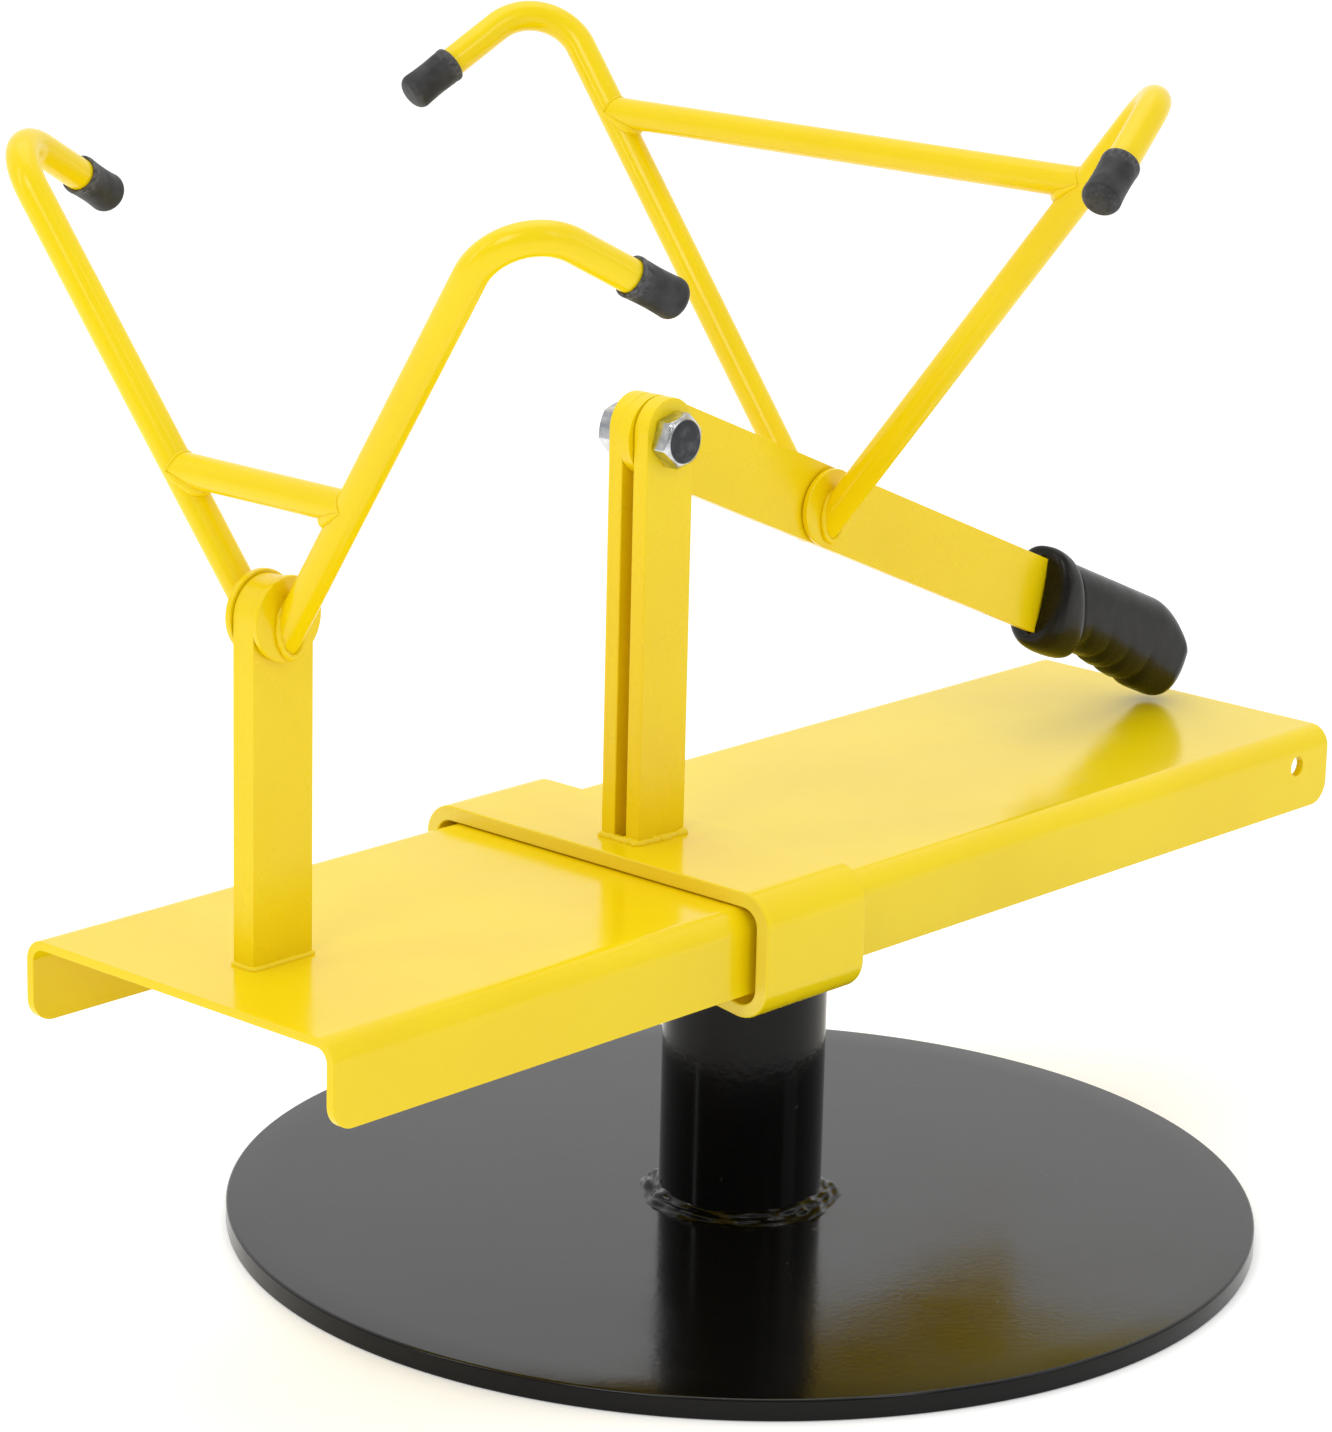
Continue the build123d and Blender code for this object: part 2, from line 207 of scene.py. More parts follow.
def black_enamel(name, rough, scratched, ior):
    """Gloss black enamel, hazed in patches, with specks, rubbed marks and fine scratches."""
    s = Shader(name, linear(8, 8, 8), rough, ior=ior)
    tone = s.ramp(s.noise(5, 4), 0.35, 0.7)
    base = s.color_mix(tone, linear(7, 7, 7), linear(13, 12, 11))
    marks = s.ramp(s.noise(34, 8, 0.7, (1, 0.25, 1), 1.2), 0.73, 0.75)
    specks = s.ramp(s.noise(150, 3, 0.5), 0.745, 0.76)
    scratch = s.ramp(s.noise(9, 9, 0.8, (6, 0.5, 1), 2.5), 0.735, 0.745)
    worn = s.math("MAXIMUM", s.math("MAXIMUM", marks, specks), scratch)
    amount = s.math("MULTIPLY", worn, scratched)
    s.color(s.color_mix(amount, base, linear(70, 66, 60)))
    haze = s.ramp(s.noise(14, 6, 0.6), 0.3, 0.8, rough * 0.75, rough * 1.6)
    s.roughness(s.math("ADD", haze, s.math("MULTIPLY", amount, 0.25)))
    s.bump(s.noise(300, 3), 0.00004)
    s.bump(s.noise(18, 2), 0.0001)
    s.bump(worn, 0.0001, -0.5)
    return s.material


black_plate = black_enamel("black_enamel_plate", 0.14, 0.5, 1.45)
black_post = black_enamel("black_enamel_post", 0.13, 0.35, 1.28)
black_weld = black_enamel("black_enamel_weld", 0.18, 0.6, 1.38)


def zinc_plate():
    """Bright zinc, mottled, with a painted dark reflection where the piece's face attribute says."""
    s = Shader("bright_zinc_plate", linear(205, 207, 208), 0.22, 1.0)
    tint = s.ramp(s.noise(160, 4), 0.3, 0.7)
    plated = s.color_mix(tint, linear(222, 223, 224), linear(160, 165, 170))
    # painted dark reflection on the flat end faces of bolt and nut
    painted_dark_reflection = s.math("MULTIPLY", s.attribute("face"), s.ramp(s.noise(210, 4), 0.2, 0.55, 0.9, 1.0))
    s.color(s.color_mix(painted_dark_reflection, plated, linear(58, 60, 62)))
    s.roughness(s.ramp(s.noise(420, 5, 0.7), 0.3, 0.75, 0.12, 0.3))
    s.bump(s.noise(900, 4, 0.6), 0.00005)
    return s.material


def turned_metal(name, light, dark, rough):
    """Bare turned metal, between two tones, with fine bands."""
    s = Shader(name, light, rough, 1.0)
    s.color(s.color_mix(s.ramp(s.noise(90, 4), 0.3, 0.7), light, dark))
    s.roughness(s.ramp(s.noise(300, 4, 0.6, (1, 1, 12)), 0.3, 0.7, rough * 0.7, rough * 1.4))
    s.bump(s.noise(260, 4, 0.6, (0.4, 0.4, 9)), 0.00006)
    return s.material


zinc = zinc_plate()
bright_steel = turned_metal("turned_steel", linear(190, 190, 188), linear(150, 150, 150), 0.25)
bronze = turned_metal("oiled_bronze", linear(176, 138, 82), linear(120, 88, 48), 0.3)


def cap_rubber():
    """Dull dark rubber, paler in patches where the worn attribute says."""
    s = Shader("cap_rubber", linear(40, 40, 41), 0.5, ior=1.35)
    worn = s.attribute("worn")
    patch = s.ramp(s.noise(420, 6, 0.7), 0.38, 0.62)
    mottle = s.color_mix(s.ramp(s.noise(130, 5), 0.35, 0.7), linear(38, 38, 39), linear(56, 56, 57))
    s.color(s.color_mix(s.math("MULTIPLY", worn, patch), mottle, linear(108, 108, 110)))
    s.roughness(s.ramp(s.noise(200, 4), 0.3, 0.7, 0.42, 0.62))
    s.bump(s.noise(900, 4, 0.6), 0.00008)
    s.bump(s.noise(150, 3), 0.0002)
    return s.material


def grip_vinyl():
    """Near-black moulded vinyl with a satin, slightly wavy skin."""
    s = Shader("grip_vinyl", linear(18, 17, 14), 0.3, ior=1.32)
    s.color(s.color_mix(s.ramp(s.noise(60, 4), 0.35, 0.7), linear(13, 12, 9), linear(20, 18, 13)))
    s.roughness(s.ramp(s.noise(90, 5, 0.6), 0.3, 0.75, 0.22, 0.36))
    s.bump(s.noise(700, 3, 0.6), 0.00006)
    s.bump(s.noise(45, 2), 0.0004)
    return s.material


cap_material = cap_rubber()
grip_material = grip_vinyl()


# ---------------------------------------------------------------- mesh helpers
def make_piece(name, mesh, body, material, slot, *nodes):
    """An object that rides a body, wears a material and stands in for CAD nodes."""
    piece = bpy.data.objects.new(name, mesh)
    bpy.context.scene.collection.objects.link(piece)
    piece.data.materials.clear()
    piece.data.materials.append(material)
    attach(piece, body)
    if nodes:
        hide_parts(*nodes)
    return piece


def mesh_of(name, points, faces, sharp):
    mesh = bpy.data.meshes.new(name)
    mesh.from_pydata([tuple(p) for p in points], [], faces)
    mesh.validate()
    shade(mesh, sharp)
    return mesh


def shade(mesh, sharp):
    mesh.polygons.foreach_set("use_smooth", [True] * len(mesh.polygons))
    mesh.set_sharp_from_angle(angle=math.radians(sharp))
    mesh.update()


def refine(node, body, material, slot, width=0.0006, segments=3, highlight_ends_material=None):
    """A copy of a CAD node's shape, with its hard edges rounded as paint rounds them."""
    work = bmesh.new()
    work.from_mesh(frame["nodes"][node].data)
    bmesh.ops.remove_doubles(work, verts=work.verts, dist=0.00001)
    bmesh.ops.dissolve_limit(
        work, angle_limit=math.radians(0.6), verts=work.verts, edges=work.edges
    )
    bmesh.ops.recalc_face_normals(work, faces=work.faces)
    hard = [e for e in work.edges if e.is_manifold and e.calc_face_angle() > math.radians(38)]
    bmesh.ops.bevel(
        work,
        geom=hard,
        offset=width,
        segments=segments,
        profile=0.5,
        affect="EDGES",
        clamp_overlap=True,
        harden_normals=False,
    )
    bmesh.ops.triangulate(work, faces=[f for f in work.faces if len(f.verts) > 4])
    mesh = bpy.data.meshes.new(node + "_painted")
    work.to_mesh(mesh)
    work.free()
    shade(mesh, 35)
    piece = make_piece(node + "_painted", mesh, body, material, slot, node)
    # faces at the sleeve's two ends take the paler enamel: a painted highlight
    if highlight_ends_material:
        mesh.materials.append(highlight_ends_material)
        for polygon in mesh.polygons:
            if abs(polygon.normal.x) > 0.9:
                polygon.material_index = 1
    weighted = piece.modifiers.new("even_shading", "WEIGHTED_NORMAL")
    weighted.keep_sharp = True


def paint_node(node, material):
    """Gives a CAD node its material and leaves its shape as it is."""
    materials = frame["nodes"][node].data.materials
    materials.clear()
    materials.append(material)


def perpendicular(direction):
    """Some unit vector square to a direction."""
    other = Vector((0, 0, 1)) if abs(direction.z) < 0.9 else Vector((1, 0, 0))
    return direction.cross(other).normalized()


def sweep(path, radii, sides, closed=False, lump=None):
    """Rings along a path, turning with it. Gives points and faces; open ends get a fan."""
    count = len(path)
    points, faces = [], []
    tangents = []
    for i in range(count):
        before = path[(i - 1) % count] if closed or i > 0 else path[i]
        after = path[(i + 1) % count] if closed or i < count - 1 else path[i]
        tangents.append((after - before).normalized())
    side = perpendicular(tangents[0])
    for i, centre in enumerate(path):
        side = (side - tangents[i] * side.dot(tangents[i])).normalized()
        other = tangents[i].cross(side)
        radius = radii[i] if isinstance(radii, list) else radii
        for k in range(sides):
            angle = 2 * math.pi * k / sides
            ray = side * math.cos(angle) + other * math.sin(angle)
            grow = lump(centre + ray * radius, i) if lump else 1.0
            points.append(centre + ray * radius * grow)
    for i in range(count if closed else count - 1):
        a, b = i * sides, ((i + 1) % count) * sides
        for k in range(sides):
            n = (k + 1) % sides
            faces.append((a + k, a + n, b + n, b + k))
    if not closed:
        faces.append(tuple(reversed(range(sides))))
        faces.append(tuple((count - 1) * sides + k for k in range(sides)))
    return points, faces


def lathe(profile, segments):
    """Turns (radius, z) points round Z. A radius of 0 closes the shape."""
    points, faces, rings = [], [], []
    for radius, z in profile:
        start = len(points)
        if radius < 1e-9:
            points.append(Vector((0, 0, z)))
            rings.append([start] * segments)
        else:
            for k in range(segments):
                angle = 2 * math.pi * k / segments
                points.append(Vector((radius * math.cos(angle), radius * math.sin(angle), z)))
            rings.append(list(range(start, start + segments)))
    for low, high in zip(rings, rings[1:]):
        for k in range(segments):
            n = (k + 1) % segments
            face = [low[k], low[n], high[n], high[k]]
            face = [v for i, v in enumerate(face) if v not in face[:i]]
            if len(face) > 2:
                faces.append(tuple(face))
    return points, faces


def rounded(corner_before, corner, corner_after, radius, steps=5):
    """Points of a small fillet at a corner of a 2-D profile."""
    a, b, c = Vector(corner_before), Vector(corner), Vector(corner_after)
    u, v = (a - b).normalized(), (c - b).normalized()
    half = math.acos(max(-1, min(1, u.dot(v)))) / 2
    start, end = b + u * radius / math.tan(half), b + v * radius / math.tan(half)
    centre = b + (u + v).normalized() * radius / math.sin(half)
    out = []
    for i in range(steps + 1):
        ray = (start - centre).lerp(end - centre, i / steps).normalized()
        out.append(tuple(centre + ray * radius))
    return out


def ripple(point, scale, amount):
    """A factor near 1 that varies from place to place."""
    return 1.0 + amount * noise.noise(point * scale)


# ---------------------------------------------------------------- base, post and turntable
base_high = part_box("base_plate")[1]
plate_radius, plate_top = max(base_high.x, base_high.y), base_high.z
post_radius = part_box("post_tube")[1].x
bead_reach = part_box("post_weld")[1].x - post_radius


def base_plate():
    """The plate turned as a disc, with softened edges and a slightly uneven rim."""
    lower_edge, upper_edge, top_rings = 0.0008, 0.0014, 12
    outline = [(0.0, 0.0), (plate_radius, 0.0), (plate_radius, plate_top), (0.0, plate_top)]
    profile = [outline[0]]
    profile += rounded(outline[0], outline[1], outline[2], lower_edge)
    profile += rounded(outline[1], outline[2], outline[3], upper_edge, 7)
    for ring in range(1, top_rings):
        profile.append((plate_radius * (1 - ring / top_rings), plate_top))
    profile.append(outline[3])
    points, faces = lathe(profile, 288)
    for p in points:
        on_rim = math.hypot(p.x, p.y) > plate_radius * 0.99
        if on_rim and 0.001 < p.z < plate_top - 0.0012:
            p.x *= 1 - 0.0004 * abs(noise.noise(Vector((p.x * 90, p.y * 90, p.z * 30))))
    mesh = mesh_of("base_plate_cut", points, faces, 50)
    plate = make_piece("base_plate_cut", mesh, "base", black_plate, "black_paint", "base_plate")

    # the rim takes the post's black
    plate.data.materials.append(black_post)
    for polygon in plate.data.polygons:
        if abs(polygon.normal.z) < 0.5:
            polygon.material_index = 1


def post_bead():
    """An uneven hand-laid fillet: a skirt from the tube down to the plate, with ridges along it."""
    around, rows = 420, 18
    into_tube, into_plate = 0.0003, 0.0001
    points, faces = [], []
    for i in range(around):
        angle = 2 * math.pi * i / around
        at = Vector((math.cos(angle), math.sin(angle), 0))
        slow = noise.noise(at * 1.7 + Vector((0, 0, 1.7)))
        fine = noise.noise(at * 5 + Vector((0, 0, 4.2)))
        height = bead_reach * (0.74 + 0.3 * slow + 0.14 * fine)
        width = bead_reach * (1.05 + 0.34 * slow + 0.26 * fine)
        for row in range(rows - 1):
            t = row / (rows - 2)
            ridge = noise.noise(Vector((at.x * 4.5, at.y * 4.5, t * 4.2 + 3)))
            belly = math.sin(math.pi * t) * (0.1 + 0.26 * ridge)
            reach = post_radius - into_tube + width * (t**1.25 + belly)
            z = plate_top - into_plate + height * ((1 - t) ** 1.35 + belly)
            points.append(Vector((reach * at.x, reach * at.y, z)))

        # the last row closes the skirt inside the tube and the plate
        reach, z = post_radius - 0.0004, plate_top - 0.0002
        points.append(Vector((reach * at.x, reach * at.y, z)))
    for i in range(around):
        n = (i + 1) % around
        for row in range(rows):
            below = (row + 1) % rows
            faces.append((i * rows + row, i * rows + below, n * rows + below, n * rows + row))
    mesh = mesh_of("post_weld_bead", points, faces, 60)
    make_piece("post_weld_bead", mesh, "base", black_weld, "black_paint", "post_weld")


base_plate()
post_bead()
refine("post_tube", "base", black_post, "black_paint", 0.0004)
refine("pivot_plate", "beam", yellow_sheet, "yellow_paint", 0.0008)
paint_node("upper_bush", bronze)
paint_node("lower_bush", bronze)
paint_node("spindle", bright_steel)
paint_node("stop_screw", bright_steel)

# ---------------------------------------------------------------- beam, upright, sleeve, clevis, lever
refine("beam_channel", "beam", yellow_sheet, "yellow_paint", 0.0007)
refine("upright_bar", "beam", yellow_bar, "yellow_paint", 0.0007)
refine("sleeve", "slider", yellow_sheet, "yellow_paint", 0.0009, 3, yellow_painted_highlight_ends)
refine("clevis_near", "slider", yellow_bar, "yellow_paint", 0.0006)
refine("clevis_far", "slider", yellow_bar, "yellow_paint", 0.0006)
refine("lever_bar", "lever", yellow_bar, "yellow_paint", 0.0006)
for side in FRAMES:
    for node in ("disc_near", "disc_far"):
        refine(f"{side}_{node}", f"{side}_frame", yellow_rod, "yellow_paint", 0.0006)
    paint_node(f"{side}_pin", yellow_rod)


def foot_path(low, high, z, inset, corner):
    """A rounded rectangle round a bar's foot, as points no more than 1.4 mm apart."""
    spacing = 0.0007
    x0, x1, y0, y1 = low.x + inset, high.x - inset, low.y + inset, high.y - inset
    path = []
    corners = ((x1, y1, 0), (x0, y1, 90), (x0, y0, 180), (x1, y0, 270))
    for cx, cy, turn in corners:
        centre = Vector((cx - math.copysign(corner, cx - (x0 + x1) / 2), 0, z))
        centre.y = cy - math.copysign(corner, cy - (y0 + y1) / 2)
        for i in range(7):
            angle = math.radians(turn + 15 * i)
            path.append(centre + Vector((math.cos(angle), math.sin(angle), 0)) * corner)
    dense = []
    for a, b in zip(path, path[1:] + path[:1]):
        steps = max(1, int((b - a).length / spacing))
        dense += [a.lerp(b, i / steps) for i in range(steps)]
    return dense


def foot_bead(node, body, radius, inset, lift, rough, seed):
    """A bead round a bar's foot, wavering and swelling as rough says."""
    low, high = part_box(node)
    path = foot_path(low, high, low.z + lift, inset, radius)
    offset = Vector((seed, seed * 2.0, 0))
    for i, p in enumerate(path):
        waver = Vector((noise.noise(p * 140 + offset), noise.noise(p * 170 - offset), 0))
        path[i] = p + waver * 0.0005 * rough
    radii = [
        radius * (1 + rough * (0.16 * noise.noise(p * 210 + offset) + 0.05 * math.sin(i * 1.15)))
        for i, p in enumerate(path)
    ]
    points, faces = sweep(path, radii, 14, True, lambda p, i: ripple(p, 420, 0.08 * rough))
    mesh = mesh_of(node + "_bead", points, faces, 180)
    make_piece(node + "_bead", mesh, body, yellow_weld, "yellow_paint", node)


foot_bead("upright_weld", "beam", 0.0015, 0.0037, 0.0003, 0.5, 1.3)
foot_bead("clevis_weld", "slider", 0.0021, 0.0035, 0.0004, 2.2, 5.1)


# ---------------------------------------------------------------- hooked frames
def bent_path(start, corner, end, radius):
    """From start to end, with a fillet at the corner."""
    leg_steps, turn_steps, end_steps = 24, 30, 8
    a, c = (start - corner).normalized(), (end - corner).normalized()
    half = math.acos(max(-1, min(1, a.dot(c)))) / 2
    reach = radius / math.tan(half)
    first, last = corner + a * reach, corner + c * reach
    centre = corner + (a + c).normalized() * radius / math.sin(half)
    u = (first - centre).normalized()
    w = (last - centre).normalized()
    turn = math.acos(max(-1, min(1, u.dot(w))))
    path = [start.lerp(first, i / leg_steps) for i in range(leg_steps)]
    for i in range(turn_steps + 1):
        t = i / turn_steps
        ray = (u * math.sin((1 - t) * turn) + w * math.sin(t * turn)) / math.sin(turn)
        path.append(centre + ray * radius)
    path += [last.lerp(end, i / end_steps) for i in range(1, end_steps + 1)]
    return path


def cap_profile():
    """A push-on cap's outline: rolled mouth, slightly waisted wall, domed end."""
    outer = ROD_RADIUS + CAP_WALL
    profile = [(ROD_RADIUS - 0.0002, 0.0035), (ROD_RADIUS - 0.0001, 0.0008)]
    profile += [(ROD_RADIUS + 0.0003, 0.0001), (outer - 0.0006, 0.0), (outer - 0.0001, 0.0004)]
    profile += [(outer, 0.0011), (outer, 0.0022), (outer - 0.00025, 0.003)]
    wall_start, wall_length, waist = 0.003, 0.018, 0.0003
    for i in range(1, 10):
        s = i / 10
        wall = outer - waist * math.sin(math.pi * s) - 0.0001
        profile.append((wall, wall_start + s * wall_length))
    edge = 0.0042
    for i in range(9):
        angle = math.radians(90 * i / 8)
        radius = outer - edge + edge * math.cos(angle)
        profile.append((radius, CAP_LENGTH - edge + edge * math.sin(angle)))
    profile.append((0.0, CAP_LENGTH + 0.0002))
    return profile


def cap_shape(name, mouth, direction):
    """A cap from its mouth along direction, marked where it is worn."""
    points, faces = lathe(cap_profile(), 48)
    turn = direction.to_track_quat("Z", "Y").to_matrix().to_4x4()
    points = [Matrix.Translation(mouth) @ (turn @ p) for p in points]
    mesh = mesh_of(name, points, faces, 60)
    worn_mouth, worn_end = 0.007, 0.024
    values = []
    for p in points:
        along = (p - mouth).dot(direction)
        at_end = 0.25 if along > worn_end else 0.0
        values.append(max(0.0, 1 - along / worn_mouth) * 0.9 + at_end)
    worn = mesh.attributes.new("worn", "FLOAT", "POINT")
    worn.data.foreach_set("value", values)
    return mesh


def foot_ring(foot, slope, out):
    """Where a rod along slope meets its disc's face, lifted a little off the face."""
    count, lift = 96, 0.0008
    u = perpendicular(slope)
    v = slope.cross(u)
    ring = []
    for k in range(count):
        angle = 2 * math.pi * k / count
        p = foot + (u * math.cos(angle) + v * math.sin(angle)) * ROD_RADIUS
        ring.append(p + slope * ((foot.y - p.y) / slope.y) + out * lift)
    return ring


def joint_line(centre, across, upright, radius):
    """Where a round bar along across meets a round bar along upright: points on both."""
    count = 72
    u = perpendicular(across)
    v = across.cross(u)
    flat = across - upright * across.dot(upright)
    path = []
    for k in range(count):
        angle = 2 * math.pi * k / count
        ray = u * math.cos(angle) + v * math.sin(angle)
        n = (ray - upright * ray.dot(upright)) * radius
        a, b, c = flat.dot(flat), 2 * flat.dot(n), n.dot(n) - radius * radius
        s = (-b + math.sqrt(max(0.0, b * b - 4 * a * c))) / (2 * a)
        path.append(centre + across * s + ray * radius)
    return path


def arm_rod(side, label, foot, bend, tip):
    """A bent rod, its foot cut flat against the disc."""
    slope = (bend - foot).normalized()
    points, faces = sweep(bent_path(foot, bend, tip, ROD_BEND_RADIUS), ROD_RADIUS, ROD_SIDES)
    for k in range(ROD_SIDES):
        p = points[k]
        points[k] = p + slope * ((foot.y - p.y) / slope.y)
    mesh = mesh_of(f"{side}_arm_{label}_rod", points, faces, 50)
    make_piece(mesh.name, mesh, side + "_frame", yellow_rod, "yellow_paint", f"{side}_arm_{label}")


def disc_bead(side, label, pivot, foot, slope, out):
    """The bead round a rod's foot, kept within its disc and on the disc's face."""
    thickness, from_edge, into_disc = 0.0014, 0.0006, 0.0004
    ring = foot_ring(foot, slope, out)
    radii = [thickness * (1 + 0.35 * noise.noise(p * 300)) for p in ring]
    points, faces = sweep(ring, radii, 14, True, lambda p, i: ripple(p, 420, 0.08))
    low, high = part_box(f"{side}_disc_{label}")
    reach = (high.x - low.x) / 2 - from_edge
    for p in points:
        away = Vector((p.x - pivot.x, 0, p.z - pivot.z))
        if away.length > reach:
            p.x = pivot.x + away.x * reach / away.length
            p.z = pivot.z + away.z * reach / away.length
        if (p.y - foot.y) * out.y < -into_disc:
            p.y = foot.y - into_disc * out.y
    mesh = mesh_of(f"{side}_foot_bead_{label}", points, faces, 180)
    node = f"{side}_foot_weld_{label}"
    make_piece(mesh.name, mesh, side + "_frame", yellow_weld, "yellow_paint", node)


def bar_bead(side, label, joint, slope, out):
    """The bead round the crossbar's end, thickest below the bar."""
    ring = joint_line(joint, -out, slope, ROD_RADIUS)
    radii = []
    for p in ring:
        below = max(0.0, (joint.z - p.z) / ROD_RADIUS)
        radii.append((0.0007 + 0.0026 * below**1.5) * (1 + 0.3 * noise.noise(p * 240)))
    points, faces = sweep(ring, radii, 16, True, lambda p, i: ripple(p, 380, 0.07))
    mesh = mesh_of(f"{side}_bar_bead_{label}", points, faces, 180)
    node = f"{side}_bar_weld_{label}"
    make_piece(mesh.name, mesh, side + "_frame", yellow_weld, "yellow_paint", node)


def build_arm(side, spec, label, out):
    """One arm with its cap and beads. Gives the place where the crossbar meets it."""
    pivot = Vector(joints[spec["joint"]]["pos_m"])
    lean, facing = math.radians(spec["lean"]), spec["facing"]
    up = Vector((-facing * math.sin(lean), 0, math.cos(lean)))
    forward = Vector((facing * math.cos(lean), 0, math.sin(lean)))
    disc_out = spec["side"] + DISC_THICKNESS
    foot = pivot + out * disc_out - up * ROD_FOOT_DROP
    bend = pivot + out * spec["spread"] + up * spec["height"]
    hook = forward * HOOK_REACH - up * HOOK_DROP + out * HOOK_FLARE
    along = hook.normalized()
    slope = (bend - foot).normalized()
    arm_rod(side, label, foot, bend, bend + hook - along * CAP_END)

    mesh = cap_shape(f"{side}_cap_{label}_rubber", bend + hook - along * CAP_LENGTH, along)
    make_piece(mesh.name, mesh, side + "_frame", cap_material, "cap_rubber", f"{side}_cap_{label}")

    disc_bead(side, label, pivot, foot, slope, out)
    share = (spec["bar"] + ROD_FOOT_DROP) / (spec["height"] + ROD_FOOT_DROP)
    joint = foot.lerp(bend, share)
    bar_bead(side, label, joint, slope, out)
    return joint


def build_frame(side, spec):
    """Both arms of a frame and the crossbar between them."""
    build_arm(side, spec, "near", Vector((0, -1.0, 0)))
    far = build_arm(side, spec, "far", Vector((0, 1.0, 0)))
    near = Vector((far.x, -far.y, far.z))
    steps = 40
    path = [near.lerp(far, i / steps) for i in range(steps + 1)]
    points, faces = sweep(path, ROD_RADIUS, ROD_SIDES)
    mesh = mesh_of(f"{side}_crossbar_rod", points, faces, 50)
    make_piece(mesh.name, mesh, side + "_frame", yellow_rod, "yellow_paint", f"{side}_crossbar")


for side, spec in FRAMES.items():
    build_frame(side, spec)


# ---------------------------------------------------------------- lever bolt and nut
bolt_at = Vector(joints["lever_pivot"]["pos_m"])
bolt_low, bolt_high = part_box("lever_bolt")
clevis_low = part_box("clevis_near")[0]
clevis_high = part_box("clevis_far")[1]
nut_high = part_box("lever_nut")[1]


def hex_radius(angle):
    """How far the hexagon's side is from its axis at an angle."""
    part = (angle - math.radians(HEX_TURN)) % (math.pi / 3) - math.pi / 6
    return HEX_FLATS / 2 / math.cos(part)


def hexagon_rows(height, sides):
    """Rings of (radius, height) from the washer rim at the seat to the flat face."""
    washer, washer_height, flats_start = HEX_FLATS / 2 * 0.985, 0.0005, 0.0006
    slope = math.tan(math.radians(30))
    corners = [hex_radius(2 * math.pi * k / sides) for k in range(sides)]
    edge = [(r, height - max(0.0, r - HEX_FACE_RADIUS) * slope) for r in corners]
    return [
        [(washer, 0.0)] * sides,
        [(washer, washer_height)] * sides,
        [(r, flats_start) for r in corners],
        [(r, z - 0.0003) for r, z in edge],
        [(r - 0.00018, z) for r, z in edge],
        [(HEX_FACE_RADIUS + 0.0002, height - 0.00008)] * sides,
        [(HEX_FACE_RADIUS - 0.0003, height)] * sides,
        [(HEX_FACE_RADIUS * 0.55, height)] * sides,
    ]


def hexagon(y_seat, outward, height):
    """A forged hexagon on the bolt's axis, its corners cut by a 30 degree cone."""
    sides = 120
    rows = hexagon_rows(height, sides)
    points, faces = [], []
    for row in rows:
        for k, (r, z) in enumerate(row):
            angle = 2 * math.pi * k / sides
            x = bolt_at.x + r * math.cos(angle)
            points.append(Vector((x, y_seat + outward * z, bolt_at.z + r * math.sin(angle))))
    for i in range(len(rows) - 1):
        a, b = i * sides, (i + 1) * sides
        for k in range(sides):
            n = (k + 1) % sides
            face = (a + k, a + n, b + n, b + k)
            faces.append(face if outward < 0 else face[::-1])
    cap = tuple((len(rows) - 1) * sides + k for k in range(sides))
    seat = tuple(range(sides))
    faces.append(cap if outward < 0 else cap[::-1])
    faces.append(seat[::-1] if outward < 0 else seat)
    return points, faces


def bolt_shank():
    """The shank through both clevis bars, threaded from inside the far bar to its chamfered end."""
    thread_start, thread_pitch, thread_depth = clevis_high.y - 0.004, 0.002, 0.0009
    end_chamfer, step = 0.0011, 0.00018
    path, radii = [], []
    y = clevis_low.y + 0.0002
    while y < bolt_high.y:
        path.append(Vector((bolt_at.x, y, bolt_at.z)))
        radius = ROD_RADIUS - 0.0001
        if y > thread_start:
            wave = abs(((y - thread_start) / thread_pitch) % 1.0 - 0.5) * 2
            radius -= thread_depth * (1 - wave)
        if y > bolt_high.y - end_chamfer:
            radius -= (y - bolt_high.y + end_chamfer) * 0.9
        radii.append(radius)
        y += step
    return sweep(path, radii, 48)


def zinc_piece(node, name, points, faces, y_face):
    """A zinc-plated piece with its flat end face, inside the chamfer, marked for the painted dark reflection.
    """
    mesh = mesh_of(name, points, faces, 28)
    tone = mesh.attributes.new("face", "FLOAT", "POINT")
    values = []
    for vertex in mesh.vertices:
        reach = math.hypot(vertex.co.x - bolt_at.x, vertex.co.z - bolt_at.z)
        # the flat end face inside the chamfer gets the painted dark reflection
        on_face = abs(vertex.co.y - y_face) < 0.00005 and reach < HEX_DARK_REFLECTION_RADIUS
        values.append(1.0 if on_face else 0.0)
    tone.data.foreach_set("value", values)
    make_piece(mesh.name, mesh, "slider", zinc, "zinc_steel", node)


points, faces = hexagon(clevis_low.y, -1, clevis_low.y - bolt_low.y)
shank_points, shank_faces = bolt_shank()
head_count = len(points)
points += shank_points
faces += [tuple(head_count + v for v in face) for face in shank_faces]
zinc_piece("lever_bolt", "lever_bolt_zinc", points, faces, bolt_low.y)
points, faces = hexagon(clevis_high.y, 1, nut_high.y - clevis_high.y)
zinc_piece("lever_nut", "lever_nut_zinc", points, faces, nut_high.y)


# ---------------------------------------------------------------- grip
def fade(value):
    """0 to 1 with soft ends."""
    value = max(0.0, min(1.0, value))
    return value * value * (3 - 2 * value)


def arc_drop(x, radius):
    """How far a quarter round at the grip's end has fallen at x."""
    over = x - (GRIP_END - radius)
    if over <= 0:
        return 0.0
    return radius - math.sqrt(max(0.0, radius**2 - min(over, radius) ** 2))


def grip_ring(x):
    """Top, bottom and half width of the grip's body, x metres from the lever's pivot."""
    crown, heel, end_rounding = 0.034, 0.0115, 0.0105
    deepening = max(0.0, min(1.0, (x - 0.335) / 0.066))
    top = 0.0212 - arc_drop(x, crown)
    bottom = -0.0186 - 0.0068 * deepening + arc_drop(x, heel)
    half = 0.0150 - arc_drop(x, end_rounding)
    return top, bottom, half


